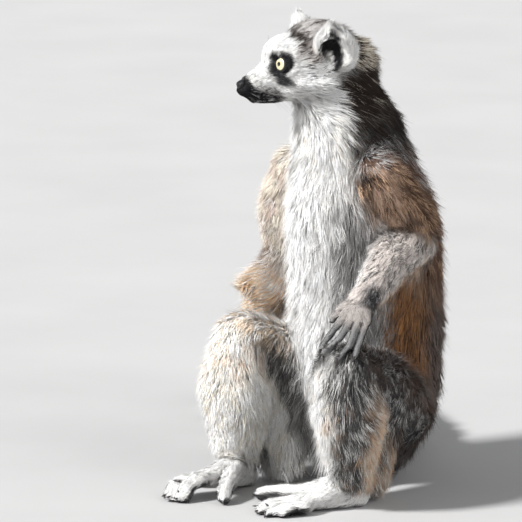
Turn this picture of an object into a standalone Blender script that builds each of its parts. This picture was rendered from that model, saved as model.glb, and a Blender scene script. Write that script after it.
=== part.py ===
"""Ring-tailed lemur sitting upright on the floor, life size, as a still model.

The animal's body faces -Y, its left side is +X and +Z is up. The origin is on the floor, in
the middle of the small flat that the rump rests on. Every solid has the outline of the coat,
out to the tips of the hair, and the skin lies inside it.

Each region of the body is fused whole, from rounded bones and ellipsoids, by a voxel remesh.
Thin cuts then part it into head, neck, trunk, tail and the segments of the limbs.
"""

import math

import bmesh
import bpy
from mathutils import Matrix, Vector

MM = 0.001  # the sizes below are in millimetres

# ---------------------------------------------------------------- driving dimensions

GAP = 0.35  # clearance that a carved piece keeps to its neighbour
CUT = 0.5  # width of the thin cuts that part one region

# The head's own frame: forward, left and up from its centre, which lies between the ears.
HEAD_CENTRE = (-11, -60, 368)
HEAD_YAW = 34  # degrees to the animal's right
HEAD_PITCH = 2.5  # degrees downward
HEAD_ROLL = 2  # degrees, with the left ear higher
EYE_CENTRE = (29, 13, 2)
EYE_RADIUS = 8
EYE_SPREAD = 30  # degrees that each eye looks outward
SOCKET_RADIUS = 8.5
NOSE_CENTRE = (64.5, 0, -13)
EAR_CENTRE = (-8, 35, 14)
EAR_HALF_WIDTH = 19
EAR_HALF_HEIGHT = 21
EAR_HALF_THICKNESS = 8.5
NECK_TOP = (-14, 0, -37)
NECK_TOP_SLOPE = 0.28

# Trunk and neck, from the rump up: centre, then half width, half depth and half height.
TRUNK_SECTIONS = [
    ((0, 0, 26), (44, 44, 28)),
    ((0, 6, 62), (59, 54, 30)),
    ((0, 3, 97), (66, 64, 28)),
    ((0, 0, 132), (67, 67, 28)),
    ((0, 0, 168), (66, 70, 28)),
    ((0, -2, 206), (66, 71, 28)),
    ((0, -8, 236), (63, 70, 28)),
    ((0, -14, 260), (56, 63, 26)),
    ((0, -16, 282), (50, 56, 22)),
    ((-1, -23, 307), (45, 52, 20)),
]
NECK_SECTIONS = [
    ((-4, -31, 331), (40, 45, 20)),
    ((-8, -44, 354), (34, 36, 20)),
]
NECK_BASE = (0, -26, 296)

# Limbs: each point with the radius of the coat there.
ARMS = {
    "left": {
        "shoulder": ((42, -40, 272), 25),
        "upper": ((52, -22, 246), 23),
        "elbow": ((60, -8, 217), 19),
        "lower": ((62, -46, 203), 21),
        "wrist": ((74, -102, 180), 12),
        "elbow_hair": ((62, -2, 207), 12),
    },
    "right": {
        "shoulder": ((-44, -42, 273), 21),
        "upper": ((-57, -38, 235), 23.5),
        "elbow": ((-62, -32, 194), 18.5),
        "lower": ((-77, -38, 150), 17),
        "wrist": ((-96, -40, 110), 10),
        "elbow_hair": ((-83, -60, 166), 8),
    },
}
LEGS = {
    "left": {
        "hip": ((34, -6, 66), 38),
        "thigh": ((58, -62, 96), 34),
        "knee": ((78, -132, 122), 29),
        "calf": ((76, -124, 86), 32),
        "shin": ((68, -110, 46), 23),
        "ankle": ((61, -95, 24), 14),
        "haunch_hair": ((56, -66, 16), 16.5),
    },
    "right": {
        "hip": ((-34, 10, 66), 40),
        "thigh": ((-54, -36, 96), 36),
        "knee": ((-68, -83, 125), 28),
        "calf": ((-71, -86, 86), 34),
        "shin": ((-69, -92, 44), 23),
        "ankle": ((-63, -93, 23), 14),
        "haunch_hair": ((-50, -50, 26), 22),
    },
}

# Digits: root, middle knuckle and tip. The left hand lies on the left knee, and the right
# hand hangs beside the right thigh.
THUMBS = {
    "left": ((63, -117, 176), (62, -122, 171), (60, -126, 165)),
    "right": ((-100, -56, 100), (-101, -65, 96), (-99, -72, 92)),
}
FINGERS = {
    "left": [
        ((70, -121, 170), (68, -138, 157), (66, -148, 147)),
        ((77, -122, 168), (80, -142, 155), (70, -152, 143)),
        ((83, -120, 167), (91, -143, 151), (87, -156, 139)),
        ((87, -114, 166), (93, -130, 154), (98, -146, 141)),
    ],
    "right": [
        ((-106, -54, 88), (-111, -64, 78), (-108, -76, 66)),
        ((-107, -48, 84), (-113, -57, 71), (-110, -66, 56)),
        ((-106, -41, 84), (-112, -47, 69), (-109, -53, 52)),
        ((-104, -34, 87), (-109, -37, 74), (-106, -40, 58)),
    ],
}
FINGER_RADIUS = 3.1

# Feet: the toes and the big toe are (root, tip). The left sole lies flat. The right foot
# stands arched on its heel and the tips of its toes.
FEET = {
    "left": {
        "ankle": (60, -98, 23),
        "heel": (61, -89, 9),
        "ball": (40, -130, 10),
        "big_toe": ((24, -116, 11), (-14, -126, 6.5)),
        "toes": [
            ((47, -145, 7), (37, -163, 3.4)),
            ((38, -147, 7), (26, -169, 3.4)),
            ((29, -144, 7), (15, -166, 3.4)),
            ((21, -139, 6.5), (7, -157, 3.4)),
        ],
        "arch": (0, 0, 2.5),
    },
    "right": {
        "ankle": (-63, -96, 21),
        "heel": (-60, -88, 9),
        "ball": (-65, -134, 14.5),
        "big_toe": ((-45, -129, 15), (-31, -156, 6)),
        "toes": [
            ((-58, -153, 16), (-60, -171, 3.6)),
            ((-64, -156, 17), (-66, -174, 3.6)),
            ((-71, -156, 16), (-74, -175, 3.6)),
            ((-78, -152, 14), (-82, -170, 3.6)),
        ],
        "arch": (0, -3, 4),
    },
}
TOE_RADIUS = 4.9
BIG_TOE_RADIUS = 7.5

# The tail lies on the floor and curls round behind the animal's right side.
TAIL_ROUTE = [
    ((0, 38, 42), 20),
    ((-22, 82, 27), 21),
    ((-66, 136, 22.5), 23),
    ((-122, 182, 23), 24),
    ((-178, 214, 23.5), 24.5),
    ((-232, 216, 23.5), 24.5),
    ((-264, 180, 23.5), 24.5),
    ((-252, 132, 23), 24),
    ((-216, 94, 22), 23),
    ((-182, 62, 20), 21),
    ((-158, 30, 16), 17),
    ((-146, 6, 9), 9.5),
    ((-141, -4, 4), 2.5),
]
TAIL_LENGTHS = 6
TAIL_SIDES = 10
TAIL_RINGS_PER_LENGTH = 7

COLOURS = {
    "coat_grey": (0.36, 0.32, 0.29),
    "coat_white": (0.82, 0.80, 0.77),
    "coat_brown": (0.38, 0.24, 0.15),
    "leg_grey": (0.27, 0.26, 0.26),
    "tail_black": (0.05, 0.045, 0.045),
    "nose_black": (0.02, 0.02, 0.022),
    "eye_yellow": (0.80, 0.66, 0.36),
    "hand_grey": (0.22, 0.21, 0.22),
}
SMOOTH_ANGLE = math.radians(40)


# ---------------------------------------------------------------- places and directions


def at(place):
    """A point in metres from one in millimetres."""
    return Vector(place) * MM


def head_axes():
    """Forward, left and up of the head."""
    yaw, pitch, roll = (math.radians(a) for a in (HEAD_YAW, HEAD_PITCH, HEAD_ROLL))
    ahead = Vector((-math.sin(yaw), -math.cos(yaw), 0))
    forward = ahead * math.cos(pitch) - Vector((0, 0, math.sin(pitch)))
    level = Vector((math.cos(yaw), -math.sin(yaw), 0))
    upright = forward.cross(level)
    left = level * math.cos(roll) + upright * math.sin(roll)
    return forward, left, forward.cross(left)


def head_at(forward, left, up):
    """A point given in the head's own millimetres."""
    axes = head_axes()
    offset = axes[0] * forward + axes[1] * left + axes[2] * up
    return at(HEAD_CENTRE) + offset * MM


def eye_pose(side):
    """The centre of an eye and the direction it looks in. Side is 1 for left, -1 for right."""
    forward, left, _ = head_axes()
    spread = math.radians(EYE_SPREAD)
    outward = forward * math.cos(spread) + left * side * math.sin(spread)
    return head_at(EYE_CENTRE[0], EYE_CENTRE[1] * side, EYE_CENTRE[2]), outward


def neck_top():
    """A point and the upward normal of the cut between head and neck."""
    forward, _, up = head_axes()
    return head_at(*NECK_TOP), (forward * NECK_TOP_SLOPE + up).normalized()


def turn_to(*axes):
    """The rotation whose columns are these axes."""
    return Matrix(axes).transposed()


# ---------------------------------------------------------------- shapes


def add_ball(form, matrix):
    bmesh.ops.create_icosphere(form, subdivisions=3, radius=1.0, matrix=matrix)


def ellipsoid(form, centre, radii, turn):
    """A closed ellipsoid, with its radii along the axes of turn."""
    scale = Matrix.Diagonal(Vector(radii) * MM).to_4x4()
    add_ball(form, Matrix.Translation(centre) @ turn.to_4x4() @ scale)


def bone(form, start, start_radii, end, end_radii):
    """The hull of two balls or of two ellipsoids. Radii are one number, or along X, Y, Z."""
    ball = bmesh.new()
    add_ball(ball, Matrix.Identity(4))
    corners = []
    for centre, radii in ((start, start_radii), (end, end_radii)):
        sizes = Vector(radii if isinstance(radii, tuple) else (radii,) * 3) * MM
        corners += [form.verts.new(centre + vert.co * sizes) for vert in ball.verts]
    ball.free()
    hull = bmesh.ops.convex_hull(form, input=corners)
    inside = [g for g in hull["geom_interior"] if isinstance(g, bmesh.types.BMVert)]
    bmesh.ops.delete(form, geom=inside, context="VERTS")


def chain(form, *joints):
    """Bones from joint to joint, where a joint is (place in millimetres, radii)."""
    for (start, start_radii), (end, end_radii) in zip(joints, joints[1:]):
        bone(form, at(start), start_radii, at(end), end_radii)


# ---------------------------------------------------------------- objects and cuts


def clear_scene():
    for obj in list(bpy.data.objects):
        bpy.data.objects.remove(obj)


def new_collection(name):
    made = bpy.data.collections.new(name)
    bpy.context.scene.collection.children.link(made)
    return made


def material(name):
    made = bpy.data.materials.new(name)
    made.use_nodes = True
    shader = made.node_tree.nodes["Principled BSDF"]
    shader.inputs["Base Color"].default_value = (*COLOURS[name], 1)
    wet = name in ("eye_yellow", "nose_black")
    shader.inputs["Roughness"].default_value = 0.25 if wet else 0.85
    shader.inputs["Metallic"].default_value = 0.0
    return made


def object_from(form, name, collection):
    """An object made from the shapes in form, which is used up."""
    mesh = bpy.data.meshes.new(name)
    form.to_mesh(mesh)
    form.free()
    made = bpy.data.objects.new(name, mesh)
    collection.objects.link(made)
    return made


def hidden_cutter(form, name):
    cutter = object_from(form, "cutter_" + name, CUTTERS)
    cutter.hide_render = True
    cutter.display_type = "WIRE"
    return cutter


def evaluated_mesh(obj):
    """The object's mesh with its modifiers applied."""
    bpy.context.view_layer.update()
    graph = bpy.context.evaluated_depsgraph_get()
    return bpy.data.meshes.new_from_object(obj.evaluated_get(graph))


def keep_largest_island(mesh):
    """Removes the slivers that a cut can leave beside the main body."""
    form = bmesh.new()
    form.from_mesh(mesh)
    unseen = set(form.verts)
    islands = []
    while unseen:
        island, border = set(), [unseen.pop()]
        while border:
            vert = border.pop()
            island.add(vert)
            near = {edge.other_vert(vert) for edge in vert.link_edges} & unseen
            unseen -= near
            border += near
        islands.append(island)
    islands.sort(key=len, reverse=True)
    strays = [vert for island in islands[1:] for vert in island]
    bmesh.ops.delete(form, geom=strays, context="VERTS")
    form.to_mesh(mesh)
    form.free()


def settle(obj):
    """Applies the object's modifiers and keeps its main body."""
    mesh = evaluated_mesh(obj)
    obj.modifiers.clear()
    obj.data = mesh
    keep_largest_island(mesh)


def decimate(obj, triangles):
    """Brings an object down to about this many triangles."""
    count = sum(len(face.vertices) - 2 for face in obj.data.polygons)
    fewer = obj.modifiers.new("fewer", "DECIMATE")
    fewer.ratio = min(1, triangles / count)
    settle(obj)
    return obj


def fuse(form, name, voxel, smoothing):
    """One closed, softened surface round all the shapes in form."""
    fused = object_from(form, name, BODY)
    remesh = fused.modifiers.new("fuse", "REMESH")
    remesh.mode = "VOXEL"
    remesh.voxel_size = voxel * MM
    smooth = fused.modifiers.new("soften", "SMOOTH")
    smooth.factor = 0.5
    smooth.iterations = smoothing
    settle(fused)
    return fused


def cut_with(obj, cutter, solver="EXACT"):
    cut = obj.modifiers.new("cut", "BOOLEAN")
    cut.operation = "DIFFERENCE"
    cut.solver = solver
    cut.object = cutter
    settle(obj)


def grown_cutter(obj):
    """A hidden copy of the object that is larger all round by the gap."""
    form = bmesh.new()
    form.from_mesh(obj.data)
    cutter = hidden_cutter(form, obj.name)
    grow = cutter.modifiers.new("grow", "DISPLACE")
    grow.mid_level = 0
    grow.strength = GAP * MM
    settle(cutter)
    return cutter


def boxes_meet(one, other):
    """Whether the bounding boxes of two objects overlap."""
    ranges = []
    for obj in (one, other):
        points = [vert.co for vert in obj.data.vertices]
        ranges.append([(min(p[i] for p in points), max(p[i] for p in points)) for i in range(3)])
    return all(a[0] <= b[1] and b[0] <= a[1] for a, b in zip(*ranges))


def carve(obj, cutters):
    """Cuts each cutter that reaches the object out of it.

    Where two soft shapes graze each other, the exact solver can lose the whole object.
    """
    for cutter in cutters:
        if boxes_meet(obj, cutter):
            cut_with(obj, cutter, "MANIFOLD")


def slab_beyond(point, normal, name):
    """A hidden slab with one face on the plane, on the side that normal points to."""
    reach = 2.0
    form = bmesh.new()
    turn = normal.to_track_quat("Z", "Y").to_matrix().to_4x4()
    middle = Matrix.Translation(point + normal * reach / 2)
    bmesh.ops.create_cube(form, size=reach, matrix=middle @ turn)
    return hidden_cutter(form, name)


def trim(obj, point, normal):
    """Cuts off what lies beyond the plane, and half of a thin cut more."""
    start = point - normal * CUT / 2 * MM
    cut_with(obj, slab_beyond(start, normal, obj.name + "_side"))


def split(whole, point, normal, upper_name, lower_name):
    """Parts an object with a thin cut. The upper piece lies on the side of normal."""
    upper = bpy.data.objects.new(upper_name, whole.data.copy())
    BODY.objects.link(upper)
    whole.name = lower_name
    trim(upper, point, -normal.normalized())
    trim(whole, point, normal.normalized())
    return upper, whole


# ---------------------------------------------------------------- head


def head_form():
    """Skull, nape, forehead, face, cheeks, brows, muzzle, jaw and the start of the neck."""
    form = bmesh.new()
    turn = turn_to(*head_axes())
    ellipsoid(form, head_at(-4, 0, 5), (35, 31, 32), turn)
    ellipsoid(form, head_at(-27, 0, -9), (29, 30, 32), turn)
    ellipsoid(form, head_at(22, 0, 8), (22.5, 20, 19), turn)
    ellipsoid(form, head_at(13, 0, -6), (25, 25, 25), turn)
    for side in (-1, 1):
        bone(form, head_at(-4, 18 * side, -17), 14.5, head_at(24, 9 * side, -17), 12)
        bone(form, head_at(16, 13 * side, 11), 12, head_at(33, 8 * side, 10), 9)
    bone(form, head_at(24, 0, -6), 20, head_at(42, 0, -11), 13.5)
    bone(form, head_at(42, 0, -11), 13.5, head_at(54, 0, -15), 10.5)
    bone(form, head_at(54, 0, -15), 10.5, head_at(60, 0, -17), 8)
    bone(form, head_at(12, 0, -20), 14, head_at(53, 0, -24), 6.5)
    chain(form, *NECK_SECTIONS)
    return form


def build_head():
    """The head down to the throat and the nape, with the hollows that the eyes sit in."""
    head = fuse(head_form(), "head", voxel=1.8, smoothing=5)
    point, upward = neck_top()
    trim(head, point, -upward)
    for side in (-1, 1):
        eye, outward = eye_pose(side)
        across = outward.orthogonal().normalized()
        turn = turn_to(outward, across, outward.cross(across))
        middle = eye + outward * SOCKET_RADIUS * MM
        form = bmesh.new()
        ellipsoid(form, middle, (SOCKET_RADIUS / 2, SOCKET_RADIUS, SOCKET_RADIUS), turn)
        cut_with(head, hidden_cutter(form, "eye_socket"))
    return decimate(head, 740)


def build_eye(name, side):
    form = bmesh.new()
    place = Matrix.Translation(eye_pose(side)[0])
    bmesh.ops.create_uvsphere(
        form, u_segments=12, v_segments=8, radius=EYE_RADIUS * MM, matrix=place
    )
    return object_from(form, name, BODY)


def build_nose():
    form = bmesh.new()
    ellipsoid(form, head_at(*NOSE_CENTRE), (4.6, 5.4, 5.0), turn_to(*head_axes()))
    bone(form, head_at(64, 0, -12), 4, head_at(62, 0, -17.5), 2.6)
    return decimate(fuse(form, "nose", voxel=0.7, smoothing=3), 100)


def build_ear(name, side):
    """A cupped ear with its fringe and pointed tip, opening forward and outward."""
    forward, left, up = head_axes()
    tip_way = (forward * 0.25 + left * side * 0.3 + up * 0.9).normalized()
    outward = (forward * 0.55 + left * side * 0.8 - up * 0.15).normalized()
    across = tip_way.cross(outward).normalized()
    opening = across.cross(tip_way)
    turn = turn_to(across, tip_way, opening)
    centre = head_at(EAR_CENTRE[0], EAR_CENTRE[1] * side, EAR_CENTRE[2])
    form = bmesh.new()
    sizes = (EAR_HALF_WIDTH, EAR_HALF_HEIGHT, EAR_HALF_THICKNESS)
    ellipsoid(form, centre - tip_way * 2 * MM, sizes, turn)
    bone(form, centre + tip_way * 9 * MM, 9, centre + tip_way * 20 * MM, 4.5)
    bone(form, head_at(-10, 26 * side, 4), 12, centre - opening * 2 * MM, 8)
    ear = fuse(form, name, voxel=1.2, smoothing=4)
    bowl = bmesh.new()
    mouth = centre + opening * EAR_HALF_THICKNESS * MM - tip_way * MM
    ellipsoid(bowl, mouth, (12.5, 16, 9.5), turn)
    cut_with(ear, hidden_cutter(bowl, name + "_bowl"))
    return decimate(ear, 270)


# ---------------------------------------------------------------- trunk, neck and tail


def build_torso():
    """Trunk and neck, fused whole and then parted at the neck's base."""
    form = bmesh.new()
    chain(form, *TRUNK_SECTIONS, *NECK_SECTIONS)
    torso = fuse(form, "trunk", voxel=3.0, smoothing=12)
    point, upward = neck_top()
    trim(torso, point, upward)
    neck, trunk = split(torso, at(NECK_BASE), Vector((0, -0.25, 1)), "neck", "trunk")
    return decimate(neck, 200), decimate(trunk, 560)


def tail_point(share):
    """Point and radius at a share of the tail, on a Catmull-Rom curve through its route."""
    last = len(TAIL_ROUTE) - 1
    index = min(int(share * last), last - 1)
    t = share * last - index
    near = [TAIL_ROUTE[min(max(index + step, 0), last)] for step in (-1, 0, 1, 2)]
    weights = (
        (-t + 2 * t**2 - t**3) / 2,
        (2 - 5 * t**2 + 3 * t**3) / 2,
        (t + 4 * t**2 - 3 * t**3) / 2,
        (-(t**2) + t**3) / 2,
    )
    point = sum((at(place) * w for w, (place, _) in zip(weights, near)), Vector())
    return point, sum(radius * w for w, (_, radius) in zip(weights, near)) * MM


def tail_knots(number):
    """Points and radii of one length. Both of its ends are square to the tail's line."""
    rings = range(1, TAIL_RINGS_PER_LENGTH - 1)
    shares = [(number + ring / (TAIL_RINGS_PER_LENGTH - 1)) / TAIL_LENGTHS for ring in rings]
    inner = [tail_point(share) for share in shares]
    ends = []
    for end, inward in ((number, 1), (number + 1, -1)):
        share = end / TAIL_LENGTHS
        point, radius = tail_point(share)
        nearby = [tail_point(min(max(share + step, 0), 1))[0] for step in (-0.001, 0.001)]
        along = (nearby[1] - nearby[0]).normalized() * inward * CUT * MM
        ends.append([(point + along * 0.5, radius), (point + along * 6, radius)])
    return [*ends[0], *inner, *reversed(ends[1])]


def build_tail():
    """Lengths of furry tube, each a bevelled curve made into a mesh, set end to end."""
    lengths = []
    for number in range(TAIL_LENGTHS):
        curve = bpy.data.curves.new("tail", "CURVE")
        curve.dimensions = "3D"
        curve.bevel_depth = 1.0
        curve.bevel_resolution = (TAIL_SIDES - 4) // 2
        curve.use_fill_caps = True
        line = curve.splines.new("POLY")
        knots = tail_knots(number)
        line.points.add(len(knots) - 1)
        for knot, (point, radius) in zip(line.points, knots):
            knot.co = (*point, 1)
            knot.radius = radius
        guide = bpy.data.objects.new("tail_guide", curve)
        BODY.objects.link(guide)
        mesh = evaluated_mesh(guide)
        bpy.data.objects.remove(guide)
        form = bmesh.new()
        form.from_mesh(mesh)
        bmesh.ops.remove_doubles(form, verts=form.verts, dist=0.001 * MM)
        bmesh.ops.recalc_face_normals(form, faces=form.faces)
        lengths.append(object_from(form, f"tail_{number + 1}", BODY))
    return lengths


# ---------------------------------------------------------------- limbs


def fold_normal(upper, joint, lower):
    """The normal of the plane that halves a bent joint, towards the upper segment."""
    up_way = (at(upper[0]) - at(joint[0])).normalized()
    down_way = (at(lower[0]) - at(joint[0])).normalized()
    return up_way - down_way


def build_arm(side):
    """Upper arm and forearm, parted across the elbow with its long hair."""
    arm = ARMS[side]
    form = bmesh.new()
    chain(form, *(arm[name] for name in ("shoulder", "upper", "elbow", "lower", "wrist")))
    chain(form, arm["elbow"], arm["elbow_hair"])
    whole = decimate(fuse(form, "arm_" + side, voxel=2.5, smoothing=5), 350)
    fold = fold_normal(arm["shoulder"], arm["elbow"], arm["wrist"])
    return split(whole, at(arm["elbow"][0]), fold, "upper_arm_" + side, "forearm_" + side)


def build_leg(side):
    """Thigh and lower leg, parted across the knee, with the long hair behind them."""
    leg = LEGS[side]
    form = bmesh.new()
    chain(form, *(leg[name] for name in ("hip", "thigh", "knee", "calf", "shin", "ankle")))
    chain(form, leg["thigh"], leg["haunch_hair"])
    whole = decimate(fuse(form, "leg_" + side, voxel=3.0, smoothing=5), 450)
    fold = fold_normal(leg["hip"], leg["knee"], leg["ankle"])
    return split(whole, at(leg["knee"][0]), fold, "thigh_" + side, "lower_leg_" + side)


def digit(form, radius, root, knuckle, tip):
    """A finger or toe, from its root over its middle knuckle to its fleshy tip."""
    chain(form, (root, radius), (knuckle, radius * 0.92), (tip, radius * 0.82))


def build_hand(side):
    """A palm with a short thumb and four long fingers."""
    wrist = ARMS[side]["wrist"][0]
    thumb, fingers = THUMBS[side], FINGERS[side]
    form = bmesh.new()
    for root, _, _ in fingers:
        chain(form, (wrist, 8.5), (root, 4.4))
    for one, other in zip(fingers, fingers[1:]):
        chain(form, (one[0], 3.8), (other[0], 3.8))
    chain(form, (wrist, 6), (thumb[0], FINGER_RADIUS))
    for points in (thumb, *fingers):
        digit(form, FINGER_RADIUS, *points)
    return decimate(fuse(form, "hand_" + side, voxel=1.0, smoothing=3), 500)


def build_foot(side):
    """A long sole with four toes side by side and a stout big toe that stands apart."""
    foot = FEET[side]
    arch = Vector(foot["arch"])
    form = bmesh.new()
    chain(form, (foot["ankle"], 13.5), (foot["heel"], 9.5))
    chain(form, (foot["ankle"], 12.5), (foot["ball"], 9), (foot["heel"], 9))
    for root, tip in foot["toes"]:
        chain(form, (foot["ball"], 8), (root, 5.6))
        digit(form, TOE_RADIUS, root, Vector(root).lerp(Vector(tip), 0.5) + arch, tip)
    root, tip = foot["big_toe"]
    instep = Vector(foot["heel"]).lerp(Vector(foot["ball"]), 0.4)
    chain(form, (instep, 8.5), (root, 8))
    chain(form, (foot["ankle"], 11), (root, 8))
    digit(form, BIG_TOE_RADIUS, root, Vector(root).lerp(Vector(tip), 0.55) + arch * 0.5, tip)
    return decimate(fuse(form, "foot_" + side, voxel=1.4, smoothing=3), 480)


# ---------------------------------------------------------------- the whole animal


def finish_of(name):
    """The material of a node."""
    if name.startswith("tail_"):
        return "coat_white" if int(name[5:]) % 2 == 0 else "tail_black"
    kinds = {
        "eye": "eye_yellow",
        "nose": "nose_black",
        "hand": "hand_grey",
        "foot": "coat_white",
        "ear": "coat_white",
        "head": "coat_white",
        "upper": "coat_brown",
        "lower": "leg_grey",
        "thigh": "leg_grey",
    }
    return kinds.get(name.split("_")[0], "coat_grey")


def build_animal():
    eyes = [build_eye("eye_left", 1), build_eye("eye_right", -1)]
    ears = [build_ear("ear_left", 1), build_ear("ear_right", -1)]
    neck, trunk = build_torso()
    upper_arms, forearms = zip(build_arm("left"), build_arm("right"))
    thighs, lower_legs = zip(build_leg("left"), build_leg("right"))
    hands = [build_hand(side) for side in ("left", "right")]
    feet = [build_foot(side) for side in ("left", "right")]

    # Earlier pieces keep their shape, and each later one is carved to fit round them.
    pieces = [
        *eyes,
        build_nose(),
        build_head(),
        trunk,
        neck,
        *forearms,
        *hands,
        *upper_arms,
        *thighs,
        *lower_legs,
        *feet,
        *build_tail(),
        *ears,
    ]
    floor = slab_beyond(Vector(), Vector((0, 0, -1)), "floor")
    materials = {name: material(name) for name in COLOURS}
    cutters = []
    for piece in pieces:
        if piece not in eyes:
            carve(piece, cutters)
        if min(vert.co.z for vert in piece.data.vertices) < 0:
            cut_with(piece, floor)
        cutters.append(grown_cutter(piece))
        piece.data.materials.clear()
        piece.data.materials.append(materials[finish_of(piece.name)])
        piece.data.shade_smooth()
        piece.data.set_sharp_from_angle(angle=SMOOTH_ANGLE)


clear_scene()
BODY = new_collection("ring_tailed_lemur")
CUTTERS = new_collection("cutters")
build_animal()
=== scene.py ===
"""Looks of the sitting ring-tailed lemur: skin, coat, eyes, nose, nails, whiskers and light.

One skin is fused round the CAD solids and drawn in from them by the depth of the coat. Its
points hold the markings and the lie of the hair, and every tuft of the coat takes both from
the place on the skin where it is rooted. Lengths in the code are in metres, and the tables of
the coat and the places of the markings are in millimetres.
"""

from math import cos, pi, radians, sin, sqrt

import bmesh
import bpy
import numpy as np
from mathutils import Matrix, Vector
from mathutils.bvhtree import BVHTree
from mathutils.kdtree import KDTree


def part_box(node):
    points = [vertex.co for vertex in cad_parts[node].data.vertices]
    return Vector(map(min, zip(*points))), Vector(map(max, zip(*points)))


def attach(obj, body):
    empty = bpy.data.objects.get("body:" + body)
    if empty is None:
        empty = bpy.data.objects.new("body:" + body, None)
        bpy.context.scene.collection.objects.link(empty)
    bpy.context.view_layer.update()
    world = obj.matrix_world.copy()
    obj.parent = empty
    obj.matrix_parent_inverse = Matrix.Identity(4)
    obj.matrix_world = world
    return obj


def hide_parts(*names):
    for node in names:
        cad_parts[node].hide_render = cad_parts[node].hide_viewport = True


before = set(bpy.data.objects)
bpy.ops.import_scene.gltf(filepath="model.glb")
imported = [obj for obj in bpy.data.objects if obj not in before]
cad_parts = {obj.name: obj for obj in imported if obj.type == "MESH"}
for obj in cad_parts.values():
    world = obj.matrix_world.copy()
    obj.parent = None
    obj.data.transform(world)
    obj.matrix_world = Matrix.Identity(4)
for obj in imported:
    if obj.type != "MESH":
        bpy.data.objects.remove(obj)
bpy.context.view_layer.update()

MM = 0.001
SEED = 7

# ---- numbers

TINY = 1e-12
HASH_STEPS = np.array([73856093, 19349663, 83492791])
HASH_SEED, HASH_STIR, HASH_MASK = 2654435761, 1274126177, 0x7FFFFFFF


def lengths(vectors):
    return np.linalg.norm(vectors, axis=-1)


def unit(vectors):
    """Vectors of length one, along the last axis."""
    return vectors / np.maximum(lengths(vectors), TINY)[..., None]


def ramp(value, start, end):
    """0 before start, 1 past end, and smooth between them. Start may be the larger."""
    share = np.clip((value - start) / (end - start), 0, 1)
    return share * share * (3 - 2 * share)


def near(value, middle, half_width, soft):
    """1 within half_width of middle, and 0 farther than soft beyond that."""
    return ramp(np.abs(value - middle), half_width + soft, half_width)


def bell(value, width):
    return np.exp(-((value / width) ** 2))


def mix(one, other, share):
    """One where share is 0 and other where it is 1, for numbers or for rows of them."""
    share = np.asarray(share, float)
    if max(np.ndim(one), np.ndim(other)) > 1 or (share.ndim and np.ndim(one) == 1):
        share = share[..., None]
    return one * (1 - share) + other * share


def lattice_noise(points, scale, seed):
    """Smooth noise from -1 to 1 that changes over about scale millimetres."""
    spot = points / (scale * MM)
    cell = np.floor(spot).astype(np.int64)
    share = ramp(spot - cell, 0, 1)
    total = np.zeros(len(points))
    for corner in range(8):
        step = np.array([corner & 1, corner >> 1 & 1, corner >> 2 & 1])
        key = (cell + step) @ HASH_STEPS + seed * HASH_SEED
        key = (key ^ (key >> 13)) * HASH_STIR & HASH_MASK
        value = ((key ^ (key >> 16)) & 0xFFFF) / 32767.5 - 1
        total += value * np.prod(np.where(step, share, 1 - share), axis=1)
    return total


# ---- objects and meshes


def linked(name, data):
    """A new object in the scene."""
    made = bpy.data.objects.new(name, data)
    bpy.context.scene.collection.objects.link(made)
    return made


def mesh_object(name, points, faces):
    mesh = bpy.data.meshes.new(name)
    mesh.from_pydata(np.asarray(points, float).tolist(), [], faces)
    mesh.update()
    mesh.shade_smooth()
    return linked(name, mesh)


def apply_modifiers(obj):
    bpy.context.view_layer.update()
    graph = bpy.context.evaluated_depsgraph_get()
    mesh = bpy.data.meshes.new_from_object(obj.evaluated_get(graph))
    obj.modifiers.clear()
    obj.data = mesh


def fuse(obj, voxel):
    """Applies an object's modifiers and remakes it as one closed surface."""
    remesh = obj.modifiers.new("fuse", "REMESH")
    remesh.mode = "VOXEL"
    remesh.voxel_size = voxel
    apply_modifiers(obj)


def read(items, field, width, kind):
    values = np.empty(len(items) * width, kind)
    items.foreach_get(field, values)
    return values.reshape(-1, width)


def mesh_arrays(mesh):
    """Points, triangles and edges of a mesh."""
    mesh.calc_loop_triangles()
    points = read(mesh.vertices, "co", 3, np.float32).astype(float)
    triangles = read(mesh.loop_triangles, "vertices", 3, np.int32)
    return points, triangles, read(mesh.edges, "vertices", 2, np.int32)


def joined(parts):
    """One array of points and one list of faces from those of several parts."""
    points, faces = [], []
    for some_points, some_faces in parts:
        start = sum(len(p) for p in points)
        points.append(some_points)
        faces += [tuple(start + int(corner) for corner in face) for face in some_faces]
    return np.concatenate(points), faces


def surface_tree(points, faces):
    return BVHTree.FromPolygons(points.tolist(), faces)


def point_tree(points):
    tree = KDTree(len(points))
    for index, point in enumerate(points):
        tree.insert(point, index)
    tree.balance()
    return tree


def set_flat(mesh, flat):
    """Stores the unwrap, a flat place for every corner of a mesh."""
    mesh.uv_layers.new(name="OFBake").data.foreach_set("uv", flat.astype(np.float32).ravel())


def set_colour(mesh, colour):
    """Stores a colour for every point of a mesh."""
    layer = mesh.color_attributes.new("colour", "FLOAT_COLOR", "POINT")
    values = np.ones((len(mesh.vertices), 4), np.float32)
    values[:, :3] = np.clip(colour, 0, 1)
    layer.data.foreach_set("color", values.ravel())


def finish_piece(piece, material, slot):
    piece.data.materials.clear()
    piece.data.materials.append(material)
    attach(piece, "root")


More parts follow.
